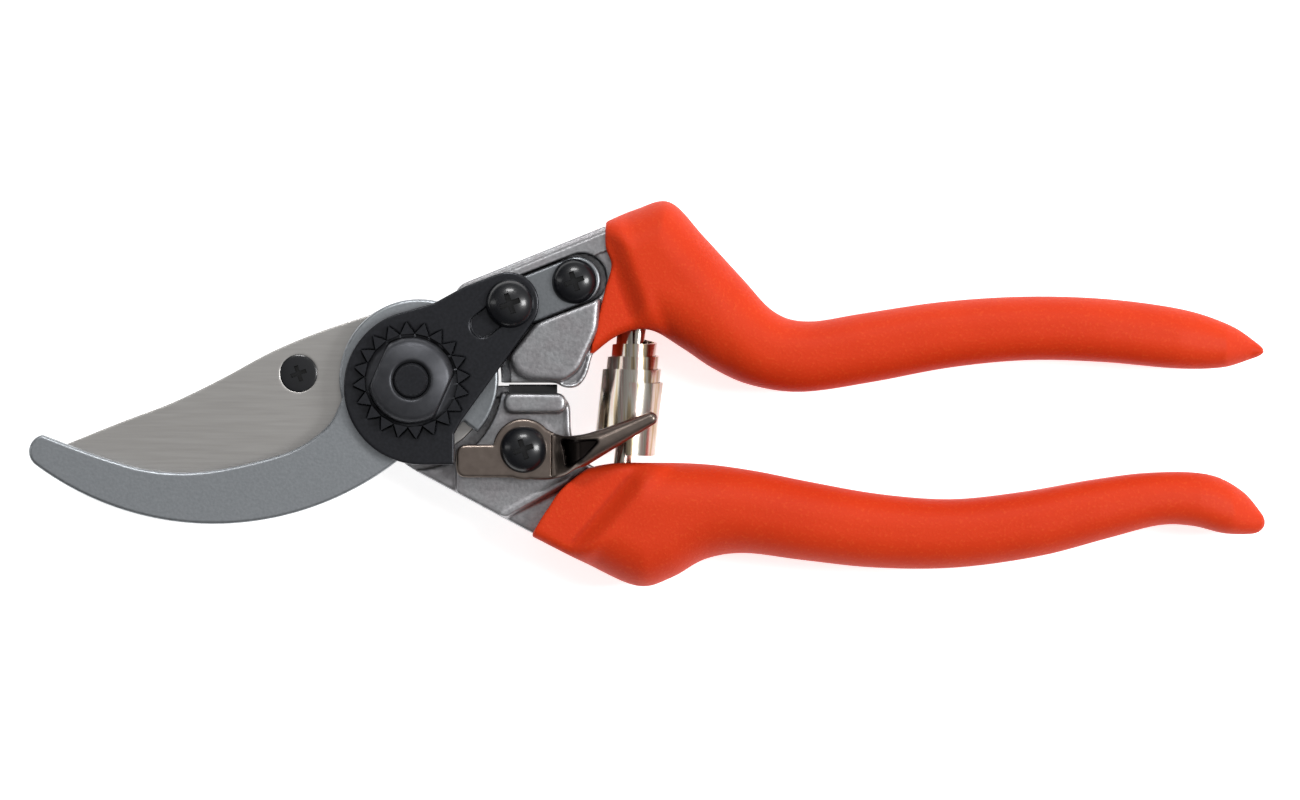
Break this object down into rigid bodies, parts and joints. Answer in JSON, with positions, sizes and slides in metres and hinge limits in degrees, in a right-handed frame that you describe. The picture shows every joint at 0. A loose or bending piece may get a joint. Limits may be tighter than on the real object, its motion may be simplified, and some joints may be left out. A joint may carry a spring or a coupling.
{
  "type": "bypass pruning shears",
  "caption": "Bypass pruning shears with forged handles in dipped grips, a hooked counter blade, a volute spring and a thumb catch, lying closed.",
  "frame": {"origin": "on the jaws' pivot axis, in the flat back face of the pivot bolt's head, on which the shears lie", "axes": "+Z along the pivot axis, away from the surface that the shears lie on; +X from the pivot towards the ends of the grips; +Y towards the grip that moves with the hooked counter blade"},
  "size_m": [0.2141, 0.067, 0.0211],
  "materials": {
    "forged_aluminium": "blasted forging, lightly polished",
    "grip_vinyl": "pebbled dipped vinyl",
    "blade_steel": "ground and oiled",
    "hook_steel": "satin ground",
    "black_steel": "black oxide",
    "bolt_steel": "dark zinc",
    "catch_steel": "dark nickel",
    "spring_steel": "bright nickel",
    "peg_steel": "bright nickel",
    "bumper_rubber": "matt rubber"
  },
  "bodies": {
    "blade_side": {"lower_handle": "forged_aluminium", "lower_grip": "grip_vinyl", "cutting_blade": "blade_steel", "blade_screw": "black_steel", "rubber_bumper": "bumper_rubber", "catch_screw": "black_steel", "catch_washer": "catch_steel", "lower_spring_peg": "peg_steel", "volute_spring": "spring_steel"},
    "hook_side": {"upper_handle": "forged_aluminium", "upper_grip": "grip_vinyl", "counter_blade": "hook_steel", "pivot_bolt": "bolt_steel", "pivot_washer": "bolt_steel", "pivot_nut": "black_steel", "lock_plate": "black_steel", "lock_plate_screw": "black_steel", "tang_screw": "black_steel", "upper_spring_peg": "peg_steel"},
    "catch": {"thumb_catch": "catch_steel"}
  },
  "joints": [
    {"name": "jaw_pivot", "type": "hinge", "parent": "blade_side", "child": "hook_side", "pos_m": [0, 0, 0.0113], "axis": [0, 0, 1], "range_deg": [0, 30], "stiffness_Nm_per_rad": 1.15, "springref_deg": 40.11, "deforming": ["volute_spring"]},
    {"name": "catch_pivot", "type": "hinge", "parent": "blade_side", "child": "catch", "pos_m": [0.0193, -0.0119, 0.0118], "axis": [0, 0, 1], "range_deg": [-12, 14]}
  ]
}
